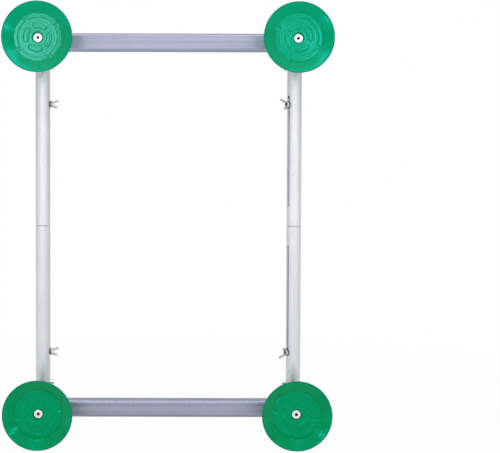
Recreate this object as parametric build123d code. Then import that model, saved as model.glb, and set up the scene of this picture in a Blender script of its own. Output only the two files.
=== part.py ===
from build123d import *
import os

# Panel carrier: two rails joined by two telescopic poles, with a rubber suction cup at each corner.
# Millimetres. X runs along the rails, Z up the poles, and Y from the panel towards the carrier's back.
# The cup lips meet the panel in the plane Y = 0, and the origin is the middle of the four cups.
# The carrier is drawn closed: the upper and lower sleeves of each pole meet at half height.
# Left is the side of negative X, as seen from the panel.

# Rails and what plugs into them
pole_spacing = 435.0  # from pole axis to pole axis
rail_height = 30.0
rail_depth = 30.0
rail_wall = 2.0
rail_front_radius = 5.5  # corners on the cup side
rail_back_radius = 11.0  # corners on the hand side
corner_block_length = 20.0
cap_plate = 2.0
cap_edge_chamfer = 0.8
cap_plug_length = 3.6
cap_plug_room = 0.4  # from the cap's plug to the corner block
insert_clearance = 0.1  # each side, for what slides into a rail

# Poles
rod_diameter = 19.0
rod_wall = 2.0
slide_clearance = 0.3  # each side, rod in sleeve
sleeve_wall = 2.7
sleeve_length = 286.0
sleeve_tip_land = 0.5  # flat left round the bore at the tapered end
sleeve_tip_taper = 3.0  # length of the tapered end
sleeve_seam_chamfer = 0.4
seam_gap = 0.6  # between the closed sleeves
neck_exposed = 14.5  # from sleeve to rail
neck_insert = 40.0  # inside the sleeve
neck_tip_chamfer = 1.0
rod_end_room = 21.3  # from rod to neck, with the rod in the middle
rod_drop = 4.5  # the rods stand this far below the middle
spigot_diameter = 10.0
spigot_length = 12.0  # inside the corner block
fit_clearance = 0.05  # each side, for fixed pieces
hole_end_room = 0.5  # past the end of what fills a blind hole

# Sleeve slots
slot_width = 6.6
slot_inner_margin = 32.7  # from the seam end of the sleeve
slot_end_room = 3.0  # past the lower stud
slot_angle = {"left": 90.0, "right": 60.0}  # from the front towards the carrier's middle

# Screws that hold each sleeve on its neck
sleeve_screw_diameter = 4.8
sleeve_screw_bite = 6.0  # into the neck
sleeve_screw_collar_diameter = 5.8
sleeve_screw_collar_height = 2.6
sleeve_screw_head_diameter = 8.0
sleeve_screw_head_height = 3.8
sleeve_screw_head_round = 0.8
sleeve_screw_socket = 3.0  # across flats
sleeve_screw_socket_depth = 1.6
sleeve_screw_setback = 14.0  # from the tapered end of the sleeve
sleeve_screw_angle = 90.0  # from the front towards the carrier's middle

# Studs, washers and wing nuts
stud_diameter = 6.0
stud_from_rod_end = 10.6
stud_past_axis = 3.0
stud_sink = 0.6  # below the top of the nut's hub
rod_plug_length = 20.0
washer_diameter = 11.4
washer_thickness = 1.8
washer_clearance = 0.2  # each side of the stud
clamp_clearance = 0.3  # from sleeve to washer, with the nut slackened
nut_clearance = 0.1  # each side of the stud
nut_base_diameter = 11.0
nut_top_diameter = 10.2
nut_hub_height = 3.0
wing_span = 24.0
wing_height = 11.6
wing_thickness = 2.0
wing_tip_radius = 2.2
wing_root_radius = 2.2
wing_root_height = 2.4
wing_root_offset = 5.0  # from the nut's axis
wing_lean = {"upper_left": -52.0, "upper_right": 36.0, "lower_left": -64.0, "lower_right": -34.0}

# Suction cups, their screws and spacers
cup_rim_diameter = 118.0
cup_lip_land = 2.0  # flat ring that meets the panel
cup_lip_thickness = 1.8
cup_height = 26.5
cup_hub_diameter = 69.0
cup_hub_side = 8.5  # straight part of the hub
cup_hub_round = 3.0
cup_root_round = 3.0
cup_face_diameter = 82.6
cup_face_depth = 11.0  # from the lip to the flat face
cup_face_round = 3.0
cup_recess_diameter = 19.0
outer_rib_inner_diameter = 66.0
outer_rib_outer_diameter = 80.0
outer_rib_sweep = 82.0
inner_rib_inner_diameter = 31.0
inner_rib_outer_diameter = 47.0
inner_rib_sweep = 66.0
rib_height = 1.0
rib_count = 4
cup_turn = {"upper_left": 12.0, "upper_right": 70.0, "lower_left": 33.0, "lower_right": 55.0}
cup_screw_diameter = 6.0
cup_screw_head_diameter = 15.6
cup_screw_head_height = 3.0
cup_screw_head_chamfer = 0.9
cup_screw_sink = 3.7  # from the cup's flat face to the screw's head
cup_screw_socket = 4.0  # across flats
cup_screw_socket_depth = 2.0
screw_clearance = 0.2  # each side, where a screw passes through
spacer_diameter = 24.0
spacer_length = 32.0
spacer_chamfer = 0.8

# Places that follow from the sizes
axis_y = cup_height + spacer_length + rail_depth / 2
rail_overhang = corner_block_length / 2 + cap_plug_room + cap_plug_length
rail_length = pole_spacing + 2 * rail_overhang
sleeve_bore = rod_diameter + 2 * slide_clearance
sleeve_diameter = sleeve_bore + 2 * sleeve_wall
sleeve_start = seam_gap / 2
sleeve_end = sleeve_start + sleeve_length
rail_z = sleeve_end + neck_exposed + rail_height / 2
neck_diameter = sleeve_bore - 2 * fit_clearance
neck_start = sleeve_end - neck_insert
spigot_end = rail_z - rail_height / 2 + rail_wall + insert_clearance + spigot_length
sleeve_screw_z = sleeve_end - sleeve_screw_setback
rod_length = 2 * (neck_start - rod_end_room)
rod_bore = rod_diameter - 2 * rod_wall
stud_offset = rod_length / 2 - stud_from_rod_end
stud_z = {"upper": stud_offset - rod_drop, "lower": -stud_offset - rod_drop}
slot_start = sleeve_start + slot_inner_margin
slot_end = stud_offset + rod_drop + stud_diameter / 2 + slot_end_room
washer_base = sleeve_diameter / 2 + clamp_clearance
nut_base = washer_base + washer_thickness
stud_tip = nut_base + nut_hub_height - stud_sink
screw_seat = cup_face_depth + cup_screw_sink + cup_screw_head_height
cup_screw_end = axis_y - spigot_diameter / 2 - fit_clearance - 2 * hole_end_room

SIDES = {"left": -1, "right": 1}
ENDS = {"upper": 1, "lower": -1}
TO_BACK = Rot(-90, 0, 0)  # turns the Z axis to +Y
TO_SIDE = Rot(0, 90, 0)  # turns the Z axis to +X


def pole(side):
    """Place of a pole's axis."""
    return Pos(SIDES[side] * pole_spacing / 2, axis_y, 0)


def inward(side, angle):
    """Turn that points the X axis an angle from the front, towards the carrier's middle."""
    return Rot(0, 0, angle - 90 if side == "left" else 270 - angle)


def at_end(end, piece):
    """A piece drawn at the upper end, or its mirror image at the lower end."""
    return piece if end == "upper" else mirror(piece, about=Plane.XY)


def bar(diameter, low, high):
    """Round bar on the Z axis between two heights."""
    return Pos(0, 0, (low + high) / 2) * Cylinder(diameter / 2, high - low)


def turned(*outline):
    """Solid of revolution about Z, from the corners of its half section as radius and height."""
    return revolve(Plane.XZ * make_face(Polyline(*outline, close=True)), Axis.Z)


def hex_socket(across_flats, low, high):
    """Hexagonal prism on the Z axis between two heights."""
    flats = RegularPolygon(across_flats / 2, 6, major_radius=False)
    return extrude(Pos(0, 0, low) * flats, high - low)


def rail_section(inset):
    """Rail outline in Y and Z about its middle, drawn inside the outer surface by an inset."""
    outline = Rectangle(rail_depth - 2 * inset, rail_height - 2 * inset)
    outline = fillet(outline.vertices().group_by(Axis.X)[0], rail_front_radius - inset)
    return fillet(outline.vertices().group_by(Axis.X)[-1], rail_back_radius - inset)


def rail_prism(inset, start, length):
    """Prism of the rail's outline at the upper rail, from a start along X."""
    section = Pos(start, axis_y, rail_z) * (Plane.YZ * rail_section(inset))
    return extrude(section, length, dir=(1, 0, 0))


def top_rail():
    """Hollow rail with a hole for each cup screw in its front and for each neck's spigot below."""
    rail = rail_prism(0, -rail_length / 2, rail_length)
    rail -= rail_prism(rail_wall, -rail_length / 2, rail_length)
    for side in SIDES:
        screw_hole = TO_BACK * bar(cup_screw_diameter + 2 * screw_clearance, 0, axis_y)
        rail -= Pos(SIDES[side] * pole_spacing / 2, 0, rail_z) * screw_hole
        rail -= pole(side) * bar(spigot_diameter + 2 * screw_clearance, sleeve_end, rail_z)
    return rail


def end_cap(side):
    """Plate that closes a rail's end, with a plug inside the rail."""
    outer = SIDES[side] * rail_length / 2
    plate = rail_prism(0, min(outer, outer + SIDES[side] * cap_plate), cap_plate)
    face = plate.faces().sort_by(Axis.X)[0 if side == "left" else -1]
    plate = chamfer(face.edges(), cap_edge_chamfer)
    inner = outer - SIDES[side] * cap_plug_length
    plug = rail_prism(rail_wall + insert_clearance, min(inner, outer), cap_plug_length)
    return plate + plug


def corner_block(side):
    """Block inside the rail, tapped for the cup screw and for the neck's spigot."""
    middle = SIDES[side] * pole_spacing / 2
    block = rail_prism(rail_wall + insert_clearance, middle - corner_block_length / 2, corner_block_length)
    screw_hole = TO_BACK * bar(cup_screw_diameter + 2 * fit_clearance, 0, cup_screw_end + hole_end_room)
    block -= Pos(middle, 0, rail_z) * screw_hole
    block -= pole(side) * bar(spigot_diameter + 2 * fit_clearance, sleeve_end, spigot_end + hole_end_room)
    return block


def neck(side):
    """Plated bar between sleeve and rail, coped to the rail and screwed into the corner block."""
    body = bar(neck_diameter, neck_start, rail_z)
    body = chamfer(body.edges().group_by(Axis.Z)[0], neck_tip_chamfer)
    body = pole(side) * body - rail_prism(0, -rail_length / 2, rail_length)
    body += pole(side) * bar(spigot_diameter, sleeve_end, spigot_end)
    bite = sleeve_screw_bite + hole_end_room
    hole = TO_SIDE * bar(sleeve_screw_diameter + 2 * fit_clearance, neck_diameter / 2 - bite, sleeve_diameter)
    return body - pole(side) * inward(side, sleeve_screw_angle) * Pos(0, 0, sleeve_screw_z) * hole


def sleeve(side):
    """Outer tube of a pole, tapered at the rail end, with the slot that its stud runs in."""
    inside = sleeve_bore / 2
    outside = sleeve_diameter / 2
    tube = turned(
        (inside, sleeve_start),
        (outside - sleeve_seam_chamfer, sleeve_start),
        (outside, sleeve_start + sleeve_seam_chamfer),
        (outside, sleeve_end - sleeve_tip_taper),
        (inside + sleeve_tip_land, sleeve_end),
        (inside, sleeve_end),
    )
    slot_face = Plane.YZ * Rot(0, 0, 90) * SlotOverall(slot_end - slot_start, slot_width)
    slot = extrude(Pos(0, 0, (slot_start + slot_end) / 2) * slot_face, sleeve_diameter, dir=(1, 0, 0))
    hole = TO_SIDE * bar(sleeve_screw_diameter + 2 * screw_clearance, 0, sleeve_diameter)
    tube -= inward(side, slot_angle[side]) * slot
    tube -= inward(side, sleeve_screw_angle) * Pos(0, 0, sleeve_screw_z) * hole
    return pole(side) * tube


def sleeve_screw(side):
    """Collared socket screw through the sleeve into the neck."""
    seat = sleeve_diameter / 2
    collar_top = seat + sleeve_screw_collar_height
    top = collar_top + sleeve_screw_head_height
    head = bar(sleeve_screw_head_diameter, collar_top, top)
    head = fillet(head.edges().group_by(Axis.Z)[-1], sleeve_screw_head_round)
    head -= hex_socket(sleeve_screw_socket, top - sleeve_screw_socket_depth, top)
    screw = head + bar(sleeve_screw_collar_diameter, seat, collar_top)
    screw += bar(sleeve_screw_diameter, neck_diameter / 2 - sleeve_screw_bite, seat)
    return pole(side) * inward(side, sleeve_screw_angle) * Pos(0, 0, sleeve_screw_z) * TO_SIDE * screw


def inner_rod(side):
    """Tube that slides in both sleeves of a pole, with a hole for each stud."""
    low = -rod_length / 2 - rod_drop
    high = low + rod_length
    rod = bar(rod_diameter, low, high) - bar(rod_bore, low, high)
    hole = TO_SIDE * bar(stud_diameter + 2 * fit_clearance, 0, rod_diameter)
    for end in ENDS:
        rod -= inward(side, slot_angle[side]) * Pos(0, 0, stud_z[end]) * hole
    return pole(side) * rod


def rod_plug(end, side):
    """Plug in the rod's end, tapped for the stud."""
    outer = rod_length / 2
    plug = bar(rod_bore - 2 * fit_clearance, outer - rod_plug_length, outer)
    plug = Pos(0, 0, -rod_drop) * at_end(end, plug)
    hole = TO_SIDE * bar(stud_diameter + 2 * fit_clearance, -stud_past_axis - hole_end_room, rod_diameter)
    return pole(side) * (plug - inward(side, slot_angle[side]) * Pos(0, 0, stud_z[end]) * hole)


def on_stud(end, side, piece):
    """A piece drawn on the Z axis, placed on a stud's axis with zero height at the pole's axis."""
    return pole(side) * inward(side, slot_angle[side]) * Pos(0, 0, stud_z[end]) * TO_SIDE * piece


def wing_nut(lean):
    """Hub with two rounded wings that spread upwards, leaning about the nut's axis."""
    hub = turned(
        (0, nut_base),
        (nut_base_diameter / 2, nut_base),
        (nut_top_diameter / 2, nut_base + nut_hub_height),
        (0, nut_base + nut_hub_height),
    )
    root = Pos(wing_root_offset, nut_base + wing_root_height) * Circle(wing_root_radius)
    tip_x = wing_span / 2 - wing_tip_radius
    tip_y = nut_base + wing_height - wing_tip_radius
    tip = Pos(tip_x, tip_y) * Circle(wing_tip_radius)
    outline = make_hull(root.edges() + tip.edges())
    wing = extrude(Plane.XZ * outline, wing_thickness / 2, both=True)
    nut = hub + wing + Rot(0, 0, 180) * wing
    nut -= bar(stud_diameter + 2 * nut_clearance, 0, nut_base + wing_height)
    return Rot(0, 0, lean) * nut


def spacer(side):
    """Plated bar between cup and rail, coped to the rail and bored for the cup screw."""
    body = bar(spacer_diameter, cup_height, axis_y)
    body = chamfer(body.edges().group_by(Axis.Z)[0], spacer_chamfer)
    body -= bar(cup_screw_diameter + 2 * screw_clearance, cup_height, axis_y)
    middle = Pos(SIDES[side] * pole_spacing / 2, 0, rail_z)
    return middle * TO_BACK * body - rail_prism(0, -rail_length / 2, rail_length)


def rounded(outline, corner, radius):
    """Rounds the corner of a flat outline that lies nearest to a point."""
    return fillet(outline.vertices().sort_by_distance(corner)[0], radius)


def cup_ribs(inner_diameter, outer_diameter, sweep):
    """Ring of raised arcs on the cup's flat face."""
    middle = (inner_diameter + outer_diameter) / 4
    width = (outer_diameter - inner_diameter) / 2
    section = Plane.XZ * (Pos(middle, cup_face_depth) * Rectangle(width, 2 * rib_height))
    pitch = 360 / rib_count
    return [Rot(0, 0, pitch * i - sweep / 2) * revolve(section, Axis.Z, sweep) for i in range(rib_count)]


def suction_cup():
    """Rubber cup on the Z axis, with its lip at zero height and its hub behind."""
    rim = cup_rim_diameter / 2
    hub = cup_hub_diameter / 2
    face = cup_face_diameter / 2
    recess = cup_recess_diameter / 2
    bore = cup_screw_diameter / 2 + screw_clearance
    hub_start = cup_height - cup_hub_side
    outline = make_face(Polyline(
        (rim - cup_lip_land, 0),
        (rim, 0),
        (rim, cup_lip_thickness),
        (hub, hub_start),
        (hub, cup_height),
        (bore, cup_height),
        (bore, screw_seat),
        (recess, screw_seat),
        (recess, cup_face_depth),
        (face, cup_face_depth),
        close=True,
    ))
    outline = rounded(outline, (hub, cup_height), cup_hub_round)
    outline = rounded(outline, (hub, hub_start), cup_root_round)
    outline = rounded(outline, (face, cup_face_depth), cup_face_round)
    cup = revolve(Plane.XZ * outline, Axis.Z)
    ribs = cup_ribs(outer_rib_inner_diameter, outer_rib_outer_diameter, outer_rib_sweep)
    ribs += cup_ribs(inner_rib_inner_diameter, inner_rib_outer_diameter, inner_rib_sweep)
    return cup + ribs


def cup_screw():
    """Flat-headed socket screw on the Z axis, from the cup's recess into the corner block."""
    top = screw_seat - cup_screw_head_height
    head = bar(cup_screw_head_diameter, top, screw_seat)
    head = chamfer(head.edges().group_by(Axis.Z)[0], cup_screw_head_chamfer)
    head -= hex_socket(cup_screw_socket, top, top + cup_screw_socket_depth)
    return head + bar(cup_screw_diameter, screw_seat, cup_screw_end)


def save(name, piece):
    """Writes one piece to its own file."""
    export_step(piece, os.path.join("parts", name + ".step"))


def main():
    os.makedirs("parts", exist_ok=True)
    rail = top_rail()
    save("top_rail", rail)
    save("bottom_rail", at_end("lower", rail))
    cup = suction_cup()
    screw = cup_screw()
    stud = bar(stud_diameter, -stud_past_axis, stud_tip)
    washer = bar(washer_diameter, washer_base, nut_base)
    washer -= bar(stud_diameter + 2 * washer_clearance, washer_base, nut_base)
    for side in SIDES:
        save(side + "_inner_rod", inner_rod(side))
        ends_alike = {
            "end_cap": end_cap(side),
            "corner_block": corner_block(side),
            "neck": neck(side),
            "sleeve": sleeve(side),
            "sleeve_screw": sleeve_screw(side),
            "spacer": spacer(side),
        }
        for end in ENDS:
            corner = end + "_" + side
            for name, piece in ends_alike.items():
                save(corner + "_" + name, at_end(end, piece))
            cup_place = Pos(SIDES[side] * pole_spacing / 2, 0, ENDS[end] * rail_z) * TO_BACK
            save(corner + "_suction_cup", cup_place * Rot(0, 0, cup_turn[corner]) * cup)
            save(corner + "_cup_screw", cup_place * screw)
            save(corner + "_rod_plug", rod_plug(end, side))
            save(corner + "_stud", on_stud(end, side, stud))
            save(corner + "_stud_washer", on_stud(end, side, washer))
            save(corner + "_wing_nut", on_stud(end, side, wing_nut(wing_lean[corner])))


main()
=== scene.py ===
import math

import bpy
from mathutils import Matrix
from mathutils import Vector
from mathutils.geometry import convex_hull_2d


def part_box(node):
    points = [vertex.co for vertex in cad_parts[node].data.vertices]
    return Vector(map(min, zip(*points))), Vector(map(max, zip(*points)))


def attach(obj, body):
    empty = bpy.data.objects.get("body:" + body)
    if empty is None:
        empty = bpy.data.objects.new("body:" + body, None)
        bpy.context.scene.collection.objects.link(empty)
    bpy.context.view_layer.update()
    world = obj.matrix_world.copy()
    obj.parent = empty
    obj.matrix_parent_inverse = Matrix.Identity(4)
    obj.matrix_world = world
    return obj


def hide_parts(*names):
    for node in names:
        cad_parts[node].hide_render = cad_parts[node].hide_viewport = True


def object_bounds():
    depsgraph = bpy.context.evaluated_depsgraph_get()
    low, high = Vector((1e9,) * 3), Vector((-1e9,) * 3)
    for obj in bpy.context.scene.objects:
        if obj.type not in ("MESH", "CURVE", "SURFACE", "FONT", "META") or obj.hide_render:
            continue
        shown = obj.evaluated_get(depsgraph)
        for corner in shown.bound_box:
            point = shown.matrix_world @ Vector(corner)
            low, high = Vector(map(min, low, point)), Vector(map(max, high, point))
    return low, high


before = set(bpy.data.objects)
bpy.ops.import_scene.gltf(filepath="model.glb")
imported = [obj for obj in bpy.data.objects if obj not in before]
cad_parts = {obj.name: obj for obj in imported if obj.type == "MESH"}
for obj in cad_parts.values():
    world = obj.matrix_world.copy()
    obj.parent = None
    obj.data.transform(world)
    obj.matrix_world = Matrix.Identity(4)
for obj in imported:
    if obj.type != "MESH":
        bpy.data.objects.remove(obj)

cad_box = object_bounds()

# One millimetre in metres
MM = 0.001

# The carrier's corners, each named by its end and its side
SIDES = ("left", "right")
ENDS = ("upper", "lower")
CORNERS = [(end, side) for end in ENDS for side in SIDES]

# Camera of the photograph's front view, in metres, degrees and pixels of its frame
IMAGE_WIDTH = 500
IMAGE_HEIGHT = 453
CAMERA_PLACE = (0.031, -1.699, 0.058)
CAMERA_TURN = -0.07
CAMERA_DIP = 1.53
CAMERA_ROLL = 0.16
CAMERA_NEAR = 0.05
FOCAL_PIXELS = 1022.4
OPTICAL_CENTRE = (187.5, 219.8)
SENSOR_WIDTH = 36.0  # in millimetres

# Shares of its light that the white surround keeps in reflections:
# far behind the carrier, at its sides, and on the floor under it, where the dimming is painted shadow
BACK_STRENGTH = 0.65
WALL_STRENGTH = 0.55
UNDER_SHADOW_STRENGTH = 0.65

# Floor, in metres: half its width, how far from its middle it fades into the surround,
# how far behind the carrier it dims in reflections, and where its painted shadow under the carrier ends
FLOOR_HALF = 6.0
FLOOR_FADE = (0.5, 1.6)
FLOOR_BACK = (0.1, 1.0)
FLOOR_SHADOW_STRIP = (0.08, 0.14)

# Floor's finish: its share of plain white near the carrier, where the rest takes the shadow
FLOOR_GLOW = 0.94
FLOOR_COLOUR = (0.9, 0.9, 0.9, 1.0)
FLOOR_ROUGHNESS = 0.9

# Room that lights the carrier
ROOM_COLOUR = (0.97, 0.98, 1.0, 1.0)
ROOM_STRENGTH = 0.85

# White surround, which dims in reflections as the Y of its direction goes from one value to the other
SURROUND_COLOUR = (1.0, 1.0, 1.0, 1.0)
SURROUND_BACK = (0.09, 0.9)

# How far drawn tubes spread reflections round themselves, from 0 to 1
TUBE_SPREAD = 0.7

# Reach of the painted shade at the seam between two sleeves, in millimetres
SEAM_SHADE_REACH = 1.2

# Tint of the cups' reflections: shares of red on the skirts and on each face, and of green and blue on both
SKIRT_RED = 0.02
# More red on the upper faces, most on the upper left, pales their sheen: a painted sheen
FACE_RED = {"upper_left": 0.22, "upper_right": 0.06, "lower_left": 0.02, "lower_right": 0.02}
SHEEN_GREEN = 0.84
SHEEN_BLUE = 1.0

# Angle in degrees from which an edge of a new piece is sharp
SHARP_ANGLE = 40.0

# Suction cup, in millimetres: radii from its axis, depths behind the lip, and roundings
CUP_LIP_INNER = 57.0
CUP_LIP_EDGE = 1.8
# The lip darkens with painted shade from the first of these radii to the second
CUP_LIP_SHADE_START = 56.4
CUP_LIP_LAND_END = 58.6
CUP_LIP_ROUND = 0.8
CUP_RIM_TAPER = 0.1
CUP_HUB = 34.5
CUP_HUB_START = 18.0
CUP_HUB_ROUND = 3.0
CUP_BACK_RING = 22.5
CUP_FACE = 41.3
CUP_FACE_DEPTH = 11.0
CUP_RECESS = 9.5
CUP_RECESS_EDGE = 0.5
CUP_SEAT_DEPTH = 17.7
CUP_BORE = 3.2
CUP_SKIRT_BOW = -0.35
CUP_SKIRT_BEND = 0.4
CUP_GROOVE_DEPTH = 15.9

# Hollow between the skirt's back and the hub, as points past the hub's radius and past its start
CUP_HOLLOW = ((1.6, -1.0), (0.6, -0.1), (0.1, 1.0), (0.0, 2.0))

# Rows of the cup's mesh, and the width of a row of its face in millimetres
FACE_ROWS = 50
FACE_ROW = 0.6
INNER_SKIRT_ROWS = 14
OUTER_SKIRT_ROWS = 16

# Ribs on the cup's face, in millimetres, with their sweeps and the turn of each cup in degrees
RIB_HEIGHT = 1.0
RIB_COUNT = 4
RIB_EDGE = 1.0
OUTER_RIB = {"inner": 33.0, "outer": 40.0, "sweep": 82.0, "corner": 1.4}
INNER_RIB = {"inner": 15.5, "outer": 23.5, "sweep": 66.0, "corner": 3.4}
CUP_TURN = {"upper_left": 12.0, "upper_right": 70.0, "lower_left": 33.0, "lower_right": 55.0}

# Both kinds of screw, in millimetres: how far a socket narrows to its floor, and the edge under a head
SOCKET_TAPER = 0.1
HEAD_EDGE = 0.2

# Cup screw, in millimetres: its top's depth behind the lip, radii, edges, and its socket across the flats,
# with the radius and depth of the drill point in the socket's floor
CUP_SCREW_TOP = 14.7
CUP_SCREW_HEAD = 7.8
CUP_SCREW_PLAY = 0.1
CUP_SCREW_DOME = 1.1
CUP_SCREW_SHANK = 3.0
CUP_SCREW_POINT = 0.7
CUP_SCREW_SOCKET = 4.0
CUP_SCREW_SOCKET_DEPTH = 2.0
CUP_SCREW_MOUTH = 0.75
CUP_SCREW_MOUTH_DEPTH = 0.35
CUP_SCREW_LAND = 0.35
CUP_SCREW_DRILL = (0.4, 0.5)

# Turn of each pole's slots, in degrees
SLOT_TURN = {"left": 0.0, "right": 210.0}

# Studs and their threads, in millimetres, with both ends measured from the pole's axis, and rows of the mesh
STUD_RADIUS = 3.0
STUD_START = -3.0
STUD_TIP = 17.0
STUD_CHAMFER = 0.9
STUD_ROWS = 160
THREAD_PITCH = 1.0
THREAD_DEPTH = 0.55
THREAD_SLOPE = 1.25

# Wing nuts, in millimetres, with their base measured from the pole's axis, and the lean of each in degrees
NUT_BASE = 14.62  # a hair clear of its washer
NUT_HEIGHT = 3.0
NUT_BASE_RADIUS = 5.5
NUT_TOP_RADIUS = 5.1
NUT_EDGE = 0.7
NUT_BORE = 3.1
NUT_CHAMFER = 0.4
WING_SPAN = 24.0
WING_HEIGHT = 11.6
WING_THICKNESS = 2.0
WING_TIP = 2.2
WING_ROOT = 2.2
WING_ROOT_PLACE = (5.0, 2.4)
WING_CLEAR_OF_BORE = 3.6
WING_LEAN = {"upper_left": -52.0, "upper_right": 36.0, "lower_left": -64.0, "lower_right": -34.0}
CAST_VOXEL = 0.25

# Sleeves and their screws, in millimetres: heights from the pole's axis, radii, edges, and sockets across the
# flats, with the radius and depth of the drill point in the socket's floor
SLEEVE_RADIUS = 12.5
SLEEVE_SCREW_TOP = 18.9
SLEEVE_SCREW_HEAD = 4.0
SLEEVE_SCREW_HEAD_BASE = 15.1
SLEEVE_SCREW_DOME = 0.8
SLEEVE_SCREW_COLLAR = 2.9
SLEEVE_SCREW_SHANK = 2.4
SLEEVE_SCREW_END = 3.75
SLEEVE_SCREW_POINT = 0.5
SLEEVE_SCREW_SOCKET = 3.0
SLEEVE_SCREW_SOCKET_DEPTH = 1.6
SLEEVE_SCREW_MOUTH = 0.5
SLEEVE_SCREW_MOUTH_DEPTH = 0.25
SLEEVE_SCREW_DRILL = (0.3, 0.4)


def linear(red, green, blue):
    """Scene colour of an 8-bit screen colour."""
    channels = []
    for value in (red, green, blue):
        share = value / 255
        channels.append(share / 12.92 if share <= 0.04045 else ((share + 0.055) / 1.055) ** 2.4)
    return (*channels, 1.0)


def combined(tree, operation, first, second=None):
    """Result of a Math node on a socket, alone or with a second socket or number."""
    node = tree.nodes.new("ShaderNodeMath")
    node.operation = operation
    tree.links.new(first, node.inputs[0])
    if isinstance(second, float):
        node.inputs[1].default_value = second
    elif second is not None:
        tree.links.new(second, node.inputs[1])
    return node.outputs["Value"]


def fade(tree, value, start, end, first, last):
    """A level that goes from the first to the last as a value goes from a start to an end."""
    node = tree.nodes.new("ShaderNodeMapRange")
    for socket, number in (("From Min", start), ("From Max", end), ("To Min", first), ("To Max", last)):
        node.inputs[socket].default_value = number
    tree.links.new(value, node.inputs["Value"])
    return node.outputs["Result"]


def axes_of(tree, place):
    """Outputs for the parts of a place along X, Y and Z."""
    split = tree.nodes.new("ShaderNodeSeparateXYZ")
    tree.links.new(place, split.inputs["Vector"])
    return split.outputs


def length_of(tree, place):
    """Distance of a place from the origin."""
    node = tree.nodes.new("ShaderNodeVectorMath")
    node.operation = "LENGTH"
    tree.links.new(place, node.inputs[0])
    return node.outputs["Value"]


class Finish:
    """A material's node tree, with short calls for the nodes that the finishes share."""

    def __init__(self, name, metallic):
        self.material = bpy.data.materials.new(name)
        self.material.use_nodes = True
        self.tree = self.material.node_tree
        self.shader = self.tree.nodes["Principled BSDF"]
        self.shader.inputs["Metallic"].default_value = metallic
        self.place = self.add("TexCoord").outputs["Object"]

    def add(self, kind, **settings):
        node = self.tree.nodes.new("ShaderNode" + kind)
        for key, value in settings.items():
            setattr(node, key, value)
        return node

    def link(self, source, target):
        self.tree.links.new(source, target)

    def noise(self, size, detail, stretch=(1, 1, 1)):
        """Noise with features of a size in metres, drawn out by a stretch along each axis."""
        mapping = self.add("Mapping")
        mapping.inputs["Scale"].default_value = [1 / (size * factor) for factor in stretch]
        texture = self.add("TexNoise")
        texture.inputs["Scale"].default_value = 1.0
        texture.inputs["Detail"].default_value = detail
        self.link(self.place, mapping.inputs["Vector"])
        self.link(mapping.outputs["Vector"], texture.inputs["Vector"])
        return texture.outputs["Fac"]

    def spread(self, value, low, high, start=0.3, end=0.7):
        """A value taken from one range to another, and held at its ends."""
        return fade(self.tree, value, start, end, low, high)

    def blend(self, factor, first, second):
        """A colour between two, each a colour or the result of another blend."""
        node = self.add("Mix", data_type="RGBA")
        self.link(factor, node.inputs[0])
        for socket, colour in ((node.inputs[6], first), (node.inputs[7], second)):
            if isinstance(colour, tuple):
                socket.default_value = colour
            else:
                self.link(colour, socket)
        return node.outputs[2]

    def mottled(self, noise, colour, shade):
        """A colour that a noise takes all the way to a shade of it."""
        return self.blend(self.spread(noise, low=0.0, high=1.0), colour, shade)

    def edges(self, radius):
        """Mask of edges: how far a rounded normal turns from the true one."""
        bevel = self.add("Bevel", samples=4)
        bevel.inputs["Radius"].default_value = radius
        true = self.add("NewGeometry").outputs["Normal"]
        dot = self.add("VectorMath", operation="DOT_PRODUCT")
        self.link(bevel.outputs["Normal"], dot.inputs[0])
        self.link(true, dot.inputs[1])
        return self.spread(dot.outputs["Value"], low=1.0, high=0.0, start=0.75, end=0.99)

    def rubbed(self, base, bright, radius, most):
        """A base colour that goes towards a brighter one along edges, by a share at most."""
        wear = self.spread(self.edges(radius), low=0.0, high=most, start=0.0, end=1.0)
        return self.blend(wear, base, bright)

    def from_axis(self):
        """Distance from the piece's Z axis, in metres."""
        flat = self.add("VectorMath", operation="MULTIPLY")
        flat.inputs[1].default_value = (1, 1, 0)
        self.link(self.place, flat.inputs[0])
        return length_of(self.tree, flat.outputs["Vector"])

    def near_height(self, height, reach):
        """1 at a height, falling to 0 within a reach, both in metres."""
        offset = combined(self.tree, "SUBTRACT", axes_of(self.tree, self.place)["Z"], height)
        distance = combined(self.tree, "ABSOLUTE", offset)
        return self.spread(distance, low=1.0, high=0.0, start=0.0, end=reach)

    def mould_rings(self, pitch):
        """Faint rings about the piece's Z axis, as a lathe leaves them in a mould."""
        own_pitch = math.pi / 10  # of the texture at a scale of 1
        wave = self.add("TexWave", wave_type="RINGS", rings_direction="Z")
        wave.inputs["Scale"].default_value = own_pitch / pitch
        wave.inputs["Distortion"].default_value = 1.5
        wave.inputs["Detail"].default_value = 2.0
        self.link(self.place, wave.inputs["Vector"])
        return wave.outputs["Fac"]

    def drawn_tube(self, axis):
        """Reflections spread across the fine lines that run along a tube's axis."""
        across = self.add("Tangent", direction_type="RADIAL", axis=axis)
        self.shader.inputs["Anisotropic"].default_value = TUBE_SPREAD
        self.link(across.outputs["Tangent"], self.shader.inputs["Tangent"])

    def colour(self, result):
        self.link(result, self.shader.inputs["Base Color"])

    def roughness(self, result):
        self.link(result, self.shader.inputs["Roughness"])

    def relief(self, height, depth):
        """Bump from a height between 0 and 1 that stands for a depth in metres."""
        bump = self.add("Bump")
        bump.inputs["Distance"].default_value = depth
        self.link(height, bump.inputs["Height"])
        self.link(bump.outputs["Normal"], self.shader.inputs["Normal"])


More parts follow.
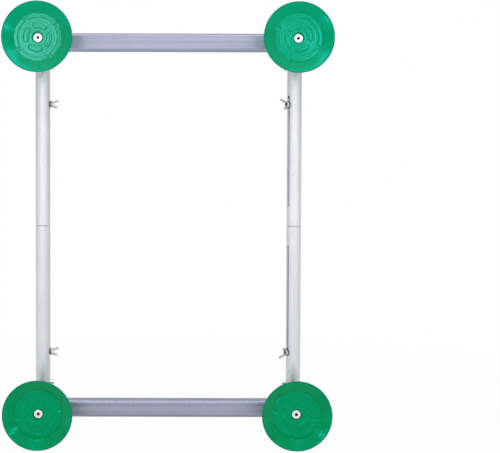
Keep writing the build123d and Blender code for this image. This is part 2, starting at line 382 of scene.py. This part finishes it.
def drawn_aluminium(name, colour, shade, along, roughness, tube=False, seam=None, streak=None):
    """Satin aluminium with fine lines along its length, faint stains and polished edges.

    An extrusion may have broader streaks in a colour of their own.
    Where tubes meet at the height of a seam, their ends are darkened with painted shade.
    """
    finish = Finish(name, metallic=1.0)
    stretch = [250 if axis == along else 1 for axis in "XYZ"]
    lines = finish.noise(size=0.0004, detail=2.0, stretch=stretch)
    stains = finish.noise(size=0.05, detail=4.0)
    surface = finish.mottled(stains, colour, shade)
    if streak is not None:
        streaks = finish.noise(size=0.0035, detail=1.0, stretch=stretch)
        share = finish.spread(streaks, low=0.0, high=1.0, start=0.35, end=0.65)
        surface = finish.blend(share, surface, streak)
    surface = finish.blend(finish.spread(lines, low=0.0, high=0.35), surface, shade)
    surface = finish.rubbed(surface, linear(236, 237, 242), radius=0.0006, most=0.4)
    if seam is not None:
        # Painted shade: the tubes darken towards the seam between them
        near_seam = finish.near_height(seam, SEAM_SHADE_REACH * MM)
        seam_shade = finish.spread(near_seam, low=0.0, high=0.28, start=0.0, end=0.6)
        surface = finish.blend(seam_shade, surface, linear(120, 122, 128))
    finish.colour(surface)
    finish.roughness(finish.spread(lines, low=roughness - 0.05, high=roughness + 0.06))
    finish.relief(lines, depth=0.000006)
    if tube:
        finish.drawn_tube(along)
    return finish.material


def plated_steel():
    """Bright plating with hair scratches and a faint haze."""
    finish = Finish("plated_steel", metallic=1.0)
    haze = finish.noise(size=0.012, detail=4.0)
    scratches = finish.noise(size=0.0005, detail=2.0, stretch=(1, 1, 12))
    finish.colour(finish.mottled(haze, linear(232, 232, 234), linear(214, 216, 219)))
    finish.roughness(finish.spread(scratches, low=0.06, high=0.16, start=0.4, end=0.75))
    finish.relief(scratches, depth=0.000002)
    return finish.material


def zinc_steel(name, colour, shade):
    """Bright zinc with a spangled, slightly dull surface and rubbed edges."""
    finish = Finish(name, metallic=1.0)
    spangle = finish.noise(size=0.0011, detail=2.0)
    dull = finish.noise(size=0.005, detail=4.0)
    base = finish.mottled(spangle, colour, shade)
    finish.colour(finish.rubbed(base, linear(238, 238, 240), radius=0.0005, most=0.6))
    finish.roughness(finish.spread(dull, low=0.16, high=0.32))
    finish.relief(spangle, depth=0.00001)
    return finish.material


def dark_steel(name, colour, shade):
    """Blackened or phosphated steel, rubbed to grey along its edges."""
    finish = Finish(name, metallic=0.8)
    mottle = finish.noise(size=0.0012, detail=3.0)
    base = finish.mottled(mottle, colour, shade)
    finish.colour(finish.rubbed(base, linear(130, 132, 136), radius=0.0004, most=0.7))
    finish.roughness(finish.spread(mottle, low=0.35, high=0.55))
    finish.relief(mottle, depth=0.00001)
    return finish.material


def cap_plastic():
    """Matte moulded plastic with a fine grain and paler edges."""
    finish = Finish("cap_plastic", metallic=0.0)
    grain = finish.noise(size=0.0006, detail=3.0)
    clouds = finish.noise(size=0.008, detail=3.0)
    base = finish.mottled(clouds, linear(186, 184, 212), linear(174, 173, 201))
    finish.colour(finish.rubbed(base, linear(206, 205, 222), radius=0.0008, most=0.5))
    finish.roughness(finish.spread(grain, low=0.5, high=0.7))
    finish.relief(grain, depth=0.00003)
    return finish.material


def cup_rubber(name, colour, shade, sheen_red):
    """Glossy green rubber with faint flow marks and small scuffs, and painted shade that darkens it at the
    lip.

    The more red there is in the tint of its reflections, the paler its sheen.
    """
    finish = Finish(name, metallic=0.0)
    flow = finish.noise(size=0.02, detail=3.0)
    scuffs = finish.noise(size=0.004, detail=5.0)
    base = finish.mottled(flow, colour, shade)
    shade_start = CUP_LIP_SHADE_START * MM
    shade_end = CUP_LIP_LAND_END * MM
    # Painted shade: darker towards the lip's edge
    lip = finish.spread(finish.from_axis(), low=0.0, high=1.0, start=shade_start, end=shade_end)
    finish.colour(finish.blend(lip, base, linear(0, 94, 66)))
    finish.roughness(finish.spread(scuffs, low=0.13, high=0.19, start=0.35, end=0.75))
    finish.relief(finish.mould_rings(pitch=0.0042), depth=0.00006)
    finish.shader.inputs["Specular IOR Level"].default_value = 1.0
    finish.shader.inputs["Specular Tint"].default_value = (sheen_red, SHEEN_GREEN, SHEEN_BLUE, 1.0)
    return finish.material


def mesh_of(name, points, faces, materials, bands=()):
    """Mesh in metres from points in millimetres, smooth except at sharp edges."""
    mesh = bpy.data.meshes.new(name)
    mesh.from_pydata([Vector(point) * MM for point in points], [], faces)
    for material in materials:
        mesh.materials.append(material)
    for index, material_index in bands:
        mesh.polygons[index].material_index = material_index
    mesh.validate()
    mesh.shade_smooth()
    mesh.set_sharp_from_angle(angle=math.radians(SHARP_ANGLE))
    return mesh


def turned(name, rings, materials, steps, second_rows=0, ring_shaped=False):
    """Solid about Z from rings, each a function of the angle that gives a radius and a height.

    A flat face closes the first ring and the last, unless the solid is ring-shaped and they join up.
    The first rows of faces, as many as second_rows, take the second material.
    """
    angles = [2 * math.pi * step / steps for step in range(steps)]
    points = []
    for ring_at in rings:
        for angle in angles:
            radius, height = ring_at(angle)
            points.append((radius * math.cos(angle), radius * math.sin(angle), height))
    count = len(rings)
    faces = []
    bands = []
    for row in range(count if ring_shaped else count - 1):
        following = (row + 1) % count
        for step in range(steps):
            beside = (step + 1) % steps
            if row < second_rows:
                bands.append((len(faces), 1))
            faces.append((row * steps + step, row * steps + beside,
                          following * steps + beside, following * steps + step))
    if not ring_shaped:
        faces.append(tuple(reversed(range(steps))))
        faces.append(tuple((count - 1) * steps + step for step in range(steps)))
        if second_rows:
            bands.append((len(faces) - 2, 1))
    return mesh_of(name, points, faces, materials, bands)


def ring(radius, height):
    """Round ring."""
    return lambda angle: (radius, height)


def hexagon(across_flats, height):
    """Six-sided ring, with a flat facing the X axis."""
    sector = math.pi / 3
    return lambda angle: (across_flats / 2 / math.cos((angle + sector / 2) % sector - sector / 2), height)


def arc(radius, height, size, start, end, count):
    """Rings round an arc of a half section, between two angles in degrees."""
    rings = []
    for step in range(count + 1):
        angle = math.radians(start + (end - start) * step / count)
        rings.append(ring(radius + size * math.cos(angle), height + size * math.sin(angle)))
    return rings


def line(first, last, count, bow):
    """Rings between the ends of a line of a half section, whose middle a bow moves along the axis."""
    rings = []
    for step in range(1, count):
        share = step / count
        radius = first[0] + (last[0] - first[0]) * share
        height = first[1] + (last[1] - first[1]) * share
        rings.append(ring(radius, height + bow * math.sin(math.pi * share)))
    return rings


def smooth_step(value):
    """Ramp from 0 to 1 with level ends."""
    share = min(1.0, max(0.0, value))
    return share * share * (3 - 2 * share)


def rib_rise(rib, radius, angle):
    """How far a ring of rounded ribs stands out of the cup's face at a radius and an angle."""
    middle = (rib["inner"] + rib["outer"]) / 2
    pitch = 2 * math.pi / RIB_COUNT
    from_centre = (angle + pitch / 2) % pitch - pitch / 2
    along = abs(from_centre) * middle - math.radians(rib["sweep"] / 2) * middle + rib["corner"]
    across = abs(radius - middle) - (rib["outer"] - rib["inner"]) / 2 + rib["corner"]
    outside = math.hypot(max(along, 0), max(across, 0)) + min(max(along, across), 0) - rib["corner"]
    return RIB_HEIGHT * smooth_step(0.5 - outside / (2 * RIB_EDGE))


def face_ring(radius, first_rib):
    """Ring of the cup's flat face, with ribs that start from an angle."""
    def place(angle):
        from_rib = angle - first_rib
        rise = rib_rise(OUTER_RIB, radius, from_rib) + rib_rise(INNER_RIB, radius, from_rib)
        return radius, CUP_FACE_DEPTH - rise
    return place


def cup_mesh(material, face_material, rim, depth, first_rib):
    """Rubber cup about Z with its lip at zero height, from its screw seat round its lip to its back."""
    edge = CUP_RECESS_EDGE
    bend = CUP_SKIRT_BEND  # reach of the soft bends where the skirt leaves the face and meets the lip
    well = CUP_SCREW_HEAD + CUP_SCREW_PLAY
    rings = [ring(CUP_BORE, CUP_SEAT_DEPTH), ring(well, CUP_SEAT_DEPTH), ring(well, CUP_GROOVE_DEPTH)]
    rings += arc(CUP_RECESS - edge, CUP_GROOVE_DEPTH - edge, edge, start=90, end=0, count=3)
    rings += arc(CUP_RECESS + edge, CUP_FACE_DEPTH + edge, edge, start=180, end=270, count=4)
    for row in range(1, FACE_ROWS + 1):
        rings.append(face_ring(CUP_RECESS + edge + row * FACE_ROW, math.radians(first_rib)))
    rings.append(ring(CUP_FACE - bend, CUP_FACE_DEPTH - bend / 8))
    face_rows = len(rings) - 1
    inner_start = (CUP_FACE, CUP_FACE_DEPTH - bend / 2)
    inner_end = (CUP_LIP_INNER, bend / 2)
    rings += line(inner_start, inner_end, INNER_SKIRT_ROWS, CUP_SKIRT_BOW)
    rings.append(ring(CUP_LIP_INNER + bend, bend / 20))
    rings += arc(rim - CUP_LIP_ROUND, CUP_LIP_ROUND, CUP_LIP_ROUND, start=-90, end=20, count=6)
    outer_start = (rim - CUP_RIM_TAPER, CUP_LIP_EDGE)
    hollow = [(CUP_HUB + out, CUP_HUB_START + back) for out, back in CUP_HOLLOW]
    rings += line(outer_start, hollow[0], OUTER_SKIRT_ROWS, CUP_SKIRT_BOW)
    rings += [ring(radius, height) for radius, height in hollow[1:]]
    rings += arc(CUP_HUB - CUP_HUB_ROUND, depth - CUP_HUB_ROUND, CUP_HUB_ROUND, start=0, end=90, count=7)
    rings += [ring(CUP_BACK_RING, depth), ring(CUP_BORE, depth)]
    materials = [material, face_material]
    return turned("suction_cup", rings, materials, steps=216, second_rows=face_rows, ring_shaped=True)


def cup_screw_mesh(material, socket_shade_material, end):
    """Pan-headed socket screw about Z, from its socket's floor to its far end."""
    top = CUP_SCREW_TOP
    socket_floor = top + CUP_SCREW_SOCKET_DEPTH
    mouth = CUP_SCREW_SOCKET / 2 + CUP_SCREW_MOUTH
    dome = CUP_SCREW_DOME
    drill_radius, drill_depth = CUP_SCREW_DRILL
    rings = [
        ring(drill_radius, socket_floor + drill_depth),
        hexagon(CUP_SCREW_SOCKET - SOCKET_TAPER, socket_floor),
        hexagon(CUP_SCREW_SOCKET, top + CUP_SCREW_MOUTH_DEPTH),
        ring(mouth, top),
        ring(mouth + CUP_SCREW_LAND, top),
    ]
    rings += arc(CUP_SCREW_HEAD - dome, top + dome, dome, start=-90, end=0, count=5)
    rings += [
        ring(CUP_SCREW_HEAD, CUP_SEAT_DEPTH - HEAD_EDGE),
        ring(CUP_SCREW_HEAD - HEAD_EDGE, CUP_SEAT_DEPTH),
        ring(CUP_SCREW_SHANK, CUP_SEAT_DEPTH),
        ring(CUP_SCREW_SHANK, end - CUP_SCREW_POINT),
        ring(CUP_SCREW_SHANK - CUP_SCREW_POINT, end),
    ]
    return turned("cup_screw", rings, [material, socket_shade_material], steps=60, second_rows=3)


def sleeve_screw_mesh(material, socket_shade_material):
    """Collared socket screw about Z, from its socket's floor down to its end."""
    top = SLEEVE_SCREW_TOP
    socket_floor = top - SLEEVE_SCREW_SOCKET_DEPTH
    dome = SLEEVE_SCREW_DOME
    drill_radius, drill_depth = SLEEVE_SCREW_DRILL
    rings = [
        ring(drill_radius, socket_floor - drill_depth),
        hexagon(SLEEVE_SCREW_SOCKET - SOCKET_TAPER, socket_floor),
        hexagon(SLEEVE_SCREW_SOCKET, top - SLEEVE_SCREW_MOUTH_DEPTH),
        ring(SLEEVE_SCREW_SOCKET / 2 + SLEEVE_SCREW_MOUTH, top),
    ]
    rings += arc(SLEEVE_SCREW_HEAD - dome, top - dome, dome, start=90, end=0, count=5)
    rings += [
        ring(SLEEVE_SCREW_HEAD, SLEEVE_SCREW_HEAD_BASE + HEAD_EDGE),
        ring(SLEEVE_SCREW_HEAD - HEAD_EDGE, SLEEVE_SCREW_HEAD_BASE),
        ring(SLEEVE_SCREW_COLLAR, SLEEVE_SCREW_HEAD_BASE),
        ring(SLEEVE_SCREW_COLLAR, SLEEVE_RADIUS),
        ring(SLEEVE_SCREW_SHANK, SLEEVE_RADIUS),
        ring(SLEEVE_SCREW_SHANK, SLEEVE_SCREW_END + SLEEVE_SCREW_POINT),
        ring(SLEEVE_SCREW_SHANK - SLEEVE_SCREW_POINT, SLEEVE_SCREW_END),
    ]
    mesh = turned("sleeve_screw", rings, [material, socket_shade_material], steps=48, second_rows=2)
    mesh.flip_normals()
    return mesh


def thread_ring(height):
    """Ring of a threaded bar with a chamfer at both ends."""
    to_end = min(height - STUD_START, STUD_TIP - height)
    def place(angle):
        phase = (height / THREAD_PITCH - angle / (2 * math.pi)) % 1.0
        flank = abs(2 * phase - 1) * THREAD_SLOPE - (THREAD_SLOPE - 1) / 2
        radius = STUD_RADIUS - THREAD_DEPTH * min(1.0, max(0.0, flank))
        return min(radius, STUD_RADIUS - STUD_CHAMFER + to_end), height
    return place


def stud_mesh(material):
    """Threaded stud about Z, whose zero height is the pole's axis."""
    length = STUD_TIP - STUD_START
    rings = [thread_ring(STUD_START + length * row / STUD_ROWS) for row in range(STUD_ROWS + 1)]
    return turned("stud", rings, [material], steps=36)


def circle_points(centre, radius, count=28):
    """Points round a circle."""
    turns = [2 * math.pi * step / count for step in range(count)]
    return [Vector((centre[0] + radius * math.cos(t), centre[1] + radius * math.sin(t))) for t in turns]


def wing_prism(direction):
    """Points and faces of one wing, a plate in the XZ plane that spreads along X."""
    tip = (WING_SPAN / 2 - WING_TIP, NUT_BASE + WING_HEIGHT - WING_TIP)
    root = (WING_ROOT_PLACE[0], NUT_BASE + WING_ROOT_PLACE[1])
    outline = circle_points(tip, WING_TIP) + circle_points(root, WING_ROOT)
    outline = [Vector((max(point.x, WING_CLEAR_OF_BORE), point.y)) for point in outline]
    outline = [outline[index] for index in convex_hull_2d(outline)]
    half = WING_THICKNESS / 2
    points = [(direction * point.x, -half, point.y) for point in outline]
    points += [(direction * point.x, half, point.y) for point in outline]
    count = len(outline)
    faces = [tuple(range(count)), tuple(reversed(range(count, 2 * count)))]
    for step in range(count):
        beside = (step + 1) % count
        faces.append((step, count + step, count + beside, beside))
    if direction < 0:
        faces = [tuple(reversed(face)) for face in faces]
    return points, faces


def wing_nut_mesh(material):
    """Cast wing nut about Z: a bored hub and two wings, melted together with soft edges."""
    top = NUT_BASE + NUT_HEIGHT
    rings = [ring(NUT_BORE, NUT_BASE), ring(NUT_BASE_RADIUS, NUT_BASE)]
    rings += arc(NUT_TOP_RADIUS - NUT_EDGE, top - NUT_EDGE, NUT_EDGE, start=0, end=90, count=3)
    rings += [ring(NUT_BORE + NUT_CHAMFER, top), ring(NUT_BORE, top - NUT_CHAMFER)]
    hub = turned("wing_nut_hub", rings, [material], steps=64, ring_shaped=True)
    points = [vertex.co / MM for vertex in hub.vertices]
    faces = [tuple(face.vertices) for face in hub.polygons]
    for direction in (1, -1):
        wing_points, wing_faces = wing_prism(direction)
        faces += [tuple(index + len(points) for index in face) for face in wing_faces]
        points += wing_points
    rough = bpy.data.meshes.new("wing_nut_rough")
    rough.from_pydata(points, [], faces)
    caster = bpy.data.objects.new("wing_nut_caster", rough)
    bpy.context.scene.collection.objects.link(caster)
    melt = caster.modifiers.new("melt", "REMESH")
    melt.mode = "VOXEL"
    melt.voxel_size = CAST_VOXEL
    soften = caster.modifiers.new("soften", "SMOOTH")
    soften.factor = 0.5
    soften.iterations = 6
    cast = bpy.data.meshes.new_from_object(caster.evaluated_get(bpy.context.evaluated_depsgraph_get()))
    bpy.data.objects.remove(caster)
    cast.transform(Matrix.Scale(MM, 4))
    cast.materials.clear()
    cast.materials.append(material)
    cast.shade_smooth()
    cast.name = "wing_nut"
    return cast


def place_piece(name, mesh, matrix, body, node):
    """A piece that stands for a node of the frame and moves with its body."""
    piece = bpy.data.objects.new(name, mesh)
    bpy.context.scene.collection.objects.link(piece)
    piece.matrix_world = matrix
    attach(piece, body)
    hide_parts(node)


def turn(angle, axis):
    """Rotation by degrees."""
    return Matrix.Rotation(math.radians(angle), 4, axis)


def middle_of(node):
    """Centre of a node's box."""
    low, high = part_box(node)
    return (low + high) / 2


def make_cups(finishes):
    """Suction cups and their screws at the four corners."""
    low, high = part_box("upper_left_suction_cup")
    rim = (high.x - low.x) / 2 / MM
    depth = (high.y - low.y) / MM
    screw_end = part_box("upper_left_cup_screw")[1].y / MM
    screw = cup_screw_mesh(finishes["zinc_steel"], finishes["socket"], screw_end)
    for end, side in CORNERS:
        corner = end + "_" + side
        body = end + "_carriage"
        node = corner + "_suction_cup"
        centre = middle_of(node)
        rubber = finishes[end + "_rubber"]
        cup = cup_mesh(rubber, finishes[corner + "_face_rubber"], rim, depth, CUP_TURN[corner])
        axis = Matrix.Translation((centre.x, 0, centre.z)) @ turn(-90, "X")
        place_piece(corner + "_cup", cup, axis, body, node)
        place_piece(corner + "_pan_screw", screw, axis, body, corner + "_cup_screw")


def make_clamps(finishes):
    """Studs, wing nuts and sleeve screws of the four sleeves."""
    # The studs are black steel, which also paints the shade in the nuts' bores where their tips sit
    stud = stud_mesh(finishes["black_steel"])
    nut = wing_nut_mesh(finishes["cast_zinc"])
    screw = sleeve_screw_mesh(finishes["zinc_steel"], finishes["socket"])
    for end, side in CORNERS:
        corner = end + "_" + side
        pole = middle_of(corner + "_sleeve")
        stud_height = middle_of(corner + "_stud").z
        outwards = turn(SLOT_TURN[side], "Z") @ turn(90, "Y")
        clamp = Matrix.Translation((pole.x, pole.y, stud_height)) @ outwards
        place_piece(corner + "_threaded_stud", stud, clamp, side + "_rod", corner + "_stud")
        leaning = clamp @ turn(WING_LEAN[corner], "Z")
        nut_name = corner + "_wing_nut"
        place_piece(corner + "_cast_wing_nut", nut, leaning, nut_name, nut_name)
        node = corner + "_sleeve_screw"
        inwards = turn(0 if side == "left" else 180, "Z") @ turn(90, "Y")
        seat = Matrix.Translation((pole.x, pole.y, middle_of(node).z)) @ inwards
        place_piece(corner + "_button_screw", screw, seat, end + "_carriage", node)


def dress_frame(finishes):
    """Gives the frame's own pieces their finishes."""
    by_kind = {
        "rail": "rail_aluminium",
        "end_cap": "cap_plastic",
        "corner_block": "block_aluminium",
        "neck": "plated_steel",
        "sleeve": "pole_aluminium",
        "spacer": "plated_steel",
        "inner_rod": "rod_aluminium",
        "rod_plug": "block_aluminium",
        "stud_washer": "dark_steel",
    }
    for name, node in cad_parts.items():
        for kind, finish in by_kind.items():
            if name.endswith("_" + kind):
                node.data.materials.clear()
                node.data.materials.append(finishes[finish])


def make_finishes():
    """All the finishes by name."""
    seam = (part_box("upper_left_sleeve")[0].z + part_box("lower_left_sleeve")[1].z) / 2
    finishes = {
        "rail_aluminium": drawn_aluminium(
            "rail_aluminium", linear(182, 185, 205), linear(174, 178, 198), along="X", roughness=0.5,
            streak=linear(158, 161, 181)),
        "pole_aluminium": drawn_aluminium(
            "pole_aluminium", linear(240, 241, 245), linear(231, 232, 238), along="Z", roughness=0.52,
            tube=True, seam=seam),
        "rod_aluminium": drawn_aluminium(
            "rod_aluminium", linear(218, 219, 223), linear(204, 206, 212), along="Z", roughness=0.38,
            tube=True),
        "block_aluminium": drawn_aluminium(
            "block_aluminium", linear(200, 201, 204), linear(176, 178, 182), along="X", roughness=0.4),
        "plated_steel": plated_steel(),
        "zinc_steel": zinc_steel("zinc_steel", linear(242, 243, 245), linear(224, 226, 230)),
        "cast_zinc": zinc_steel("cast_zinc", linear(222, 223, 226), linear(202, 204, 209)),
        "black_steel": dark_steel("black_steel", linear(34, 36, 39), linear(58, 60, 64)),
        "dark_steel": dark_steel("dark_steel", linear(126, 128, 132), linear(112, 114, 118)),
        # Painted shade: the screws' sockets take a near-black steel
        "socket": dark_steel("socket_shadow", linear(34, 36, 39), linear(58, 60, 64)),
        "cap_plastic": cap_plastic(),
    }
    # Greens of the cups: the upper ones lighter and bluer, the lower ones darker, painted light and shade
    # from above
    greens_with_painted_light = {
        "upper": (linear(0, 151, 92), linear(0, 146, 86)),
        "lower": (linear(0, 142, 64), linear(0, 137, 58)),
    }
    for end, (colour, shade) in greens_with_painted_light.items():
        finishes[end + "_rubber"] = cup_rubber(end + "_rubber", colour, shade, SKIRT_RED)
    for end, side in CORNERS:
        name = end + "_" + side + "_face_rubber"
        finishes[name] = cup_rubber(name, *greens_with_painted_light[end], FACE_RED[end + "_" + side])
    return finishes


def seen_rays(tree):
    """1 for what the camera sees, also in reflections and through clear things, and 0 for other light."""
    path = tree.nodes.new("ShaderNodeLightPath")
    seen = path.outputs["Is Camera Ray"]
    for kind in ("Is Glossy Ray", "Is Transmission Ray"):
        seen = combined(tree, "MAXIMUM", seen, path.outputs[kind])
    return seen


def white_to_camera(tree, reflected):
    """Full strength for the camera, and another strength in reflections."""
    path = tree.nodes.new("ShaderNodeLightPath")
    return combined(tree, "MAXIMUM", reflected, path.outputs["Is Camera Ray"])


def send_mix(tree, share, first, second, output):
    """Sends a mix of two shaders to an output node."""
    mix = tree.nodes.new("ShaderNodeMixShader")
    tree.links.new(share, mix.inputs["Fac"])
    tree.links.new(first, mix.inputs[1])
    tree.links.new(second, mix.inputs[2])
    tree.links.new(mix.outputs["Shader"], tree.nodes[output].inputs["Surface"])


def floor_white():
    """White that keeps a soft shadow near the carrier and fades into the white surround.

    In reflections it is dimmer behind the carrier, and under it a strip of painted shadow dims it.
    """
    material = bpy.data.materials.new("floor")
    material.use_nodes = True
    tree = material.node_tree
    shader = tree.nodes["Principled BSDF"]
    shader.inputs["Base Color"].default_value = FLOOR_COLOUR
    shader.inputs["Roughness"].default_value = FLOOR_ROUGHNESS
    shader.inputs["Specular IOR Level"].default_value = 0.0
    place = tree.nodes.new("ShaderNodeTexCoord").outputs["Object"]
    depth = axes_of(tree, place)["Y"]
    behind = fade(tree, depth, *FLOOR_BACK, 1.0, BACK_STRENGTH)
    # Painted shadow: in reflections the floor dims in a strip under the carrier
    under = fade(tree, combined(tree, "ABSOLUTE", depth), *FLOOR_SHADOW_STRIP, UNDER_SHADOW_STRENGTH, 1.0)
    strength = white_to_camera(tree, combined(tree, "MULTIPLY", behind, under))
    glow = tree.nodes.new("ShaderNodeEmission")
    tree.links.new(strength, glow.inputs["Strength"])
    glowing = fade(tree, length_of(tree, place), *FLOOR_FADE, FLOOR_GLOW, 1.0)
    share = combined(tree, "MULTIPLY", glowing, seen_rays(tree))
    send_mix(tree, share, shader.outputs["BSDF"], glow.outputs["Emission"], "Material Output")
    return material


def make_floor():
    """Floor under the lowest cups."""
    half = FLOOR_HALF
    height = cad_box[0].z
    corners = [(-half, -half, height), (half, -half, height), (half, half, height), (-half, half, height)]
    mesh = bpy.data.meshes.new("floor")
    mesh.from_pydata(corners, [], [(0, 1, 2, 3)])
    mesh.materials.append(floor_white())
    floor = bpy.data.objects.new("floor", mesh)
    bpy.context.scene.collection.objects.link(floor)


def make_world():
    """White surround for the camera, dimmer at its sides and back in reflections, and a room for light."""
    world = bpy.data.worlds.new("studio")
    bpy.context.scene.world = world
    world.use_nodes = True
    tree = world.node_tree
    room = tree.nodes["Background"]
    room.inputs["Color"].default_value = ROOM_COLOUR
    room.inputs["Strength"].default_value = ROOM_STRENGTH
    direction = axes_of(tree, tree.nodes.new("ShaderNodeTexCoord").outputs["Generated"])
    walls = fade(tree, combined(tree, "ABSOLUTE", direction["X"]), 0.0, 1.0, 1.0, WALL_STRENGTH)
    behind = fade(tree, direction["Y"], *SURROUND_BACK, 1.0, BACK_STRENGTH)
    strength = white_to_camera(tree, combined(tree, "MULTIPLY", walls, behind))
    surround = tree.nodes.new("ShaderNodeBackground")
    surround.inputs["Color"].default_value = SURROUND_COLOUR
    tree.links.new(strength, surround.inputs["Strength"])
    backgrounds = (room.outputs["Background"], surround.outputs["Background"])
    send_mix(tree, seen_rays(tree), *backgrounds, "World Output")


def make_light(name, place, target, size, watts):
    """Soft box that faces a point."""
    data = bpy.data.lights.new(name, "AREA")
    data.shape = "RECTANGLE"
    data.size = size[0]
    data.size_y = size[1]
    data.energy = watts
    light = bpy.data.objects.new(name, data)
    light.location = place
    light.rotation_euler = (Vector(target) - Vector(place)).to_track_quat("-Z", "Y").to_euler()
    light.visible_camera = False
    bpy.context.scene.collection.objects.link(light)


def make_camera():
    """Camera of the photograph's front view."""
    data = bpy.data.cameras.new("camera")
    data.sensor_width = SENSOR_WIDTH
    data.lens = FOCAL_PIXELS / IMAGE_WIDTH * SENSOR_WIDTH
    data.shift_x = (IMAGE_WIDTH / 2 - OPTICAL_CENTRE[0]) / IMAGE_WIDTH
    data.shift_y = (OPTICAL_CENTRE[1] - IMAGE_HEIGHT / 2) / IMAGE_WIDTH
    data.clip_start = CAMERA_NEAR
    camera = bpy.data.objects.new("camera", data)
    bpy.context.scene.collection.objects.link(camera)
    view = turn(CAMERA_TURN, "Z") @ turn(90 - CAMERA_DIP, "X") @ turn(CAMERA_ROLL, "Z")
    camera.matrix_world = Matrix.Translation(CAMERA_PLACE) @ view
    bpy.context.scene.camera = camera


finishes = make_finishes()
make_cups(finishes)
make_clamps(finishes)
dress_frame(finishes)
make_floor()
make_world()
make_light("main_left_box", place=(-0.6, -1.75, 0.52), target=(0, 0, 0.1), size=(0.3, 0.35), watts=1.3)
make_light("main_right_box", place=(0.6, -1.75, 0.52), target=(0, 0, 0.1), size=(0.3, 0.35), watts=1.3)
make_light("key_box", place=(0, -0.5, 0.95), target=(0, 0, 0.25), size=(1.1, 0.35), watts=2.5)
make_light("upper_left_box", place=(-0.48, -1.74, 0.6), target=(-0.2, 0, 0.3), size=(0.24, 0.24), watts=0.15)
make_light("left_box", place=(-0.65, -0.85, 0.12), target=(0.2, 0, 0), size=(0.1, 0.5), watts=0.3)
make_light("right_box", place=(0.75, -0.85, 0.15), target=(-0.2, 0, 0), size=(0.4, 0.16), watts=0.6)
make_light("left_glint", place=(-0.34, -0.56, 0.0), target=(0.26, 0, 0), size=(0.04, 0.14), watts=0.15)
make_camera()
bpy.context.scene.view_settings.view_transform = "Standard"
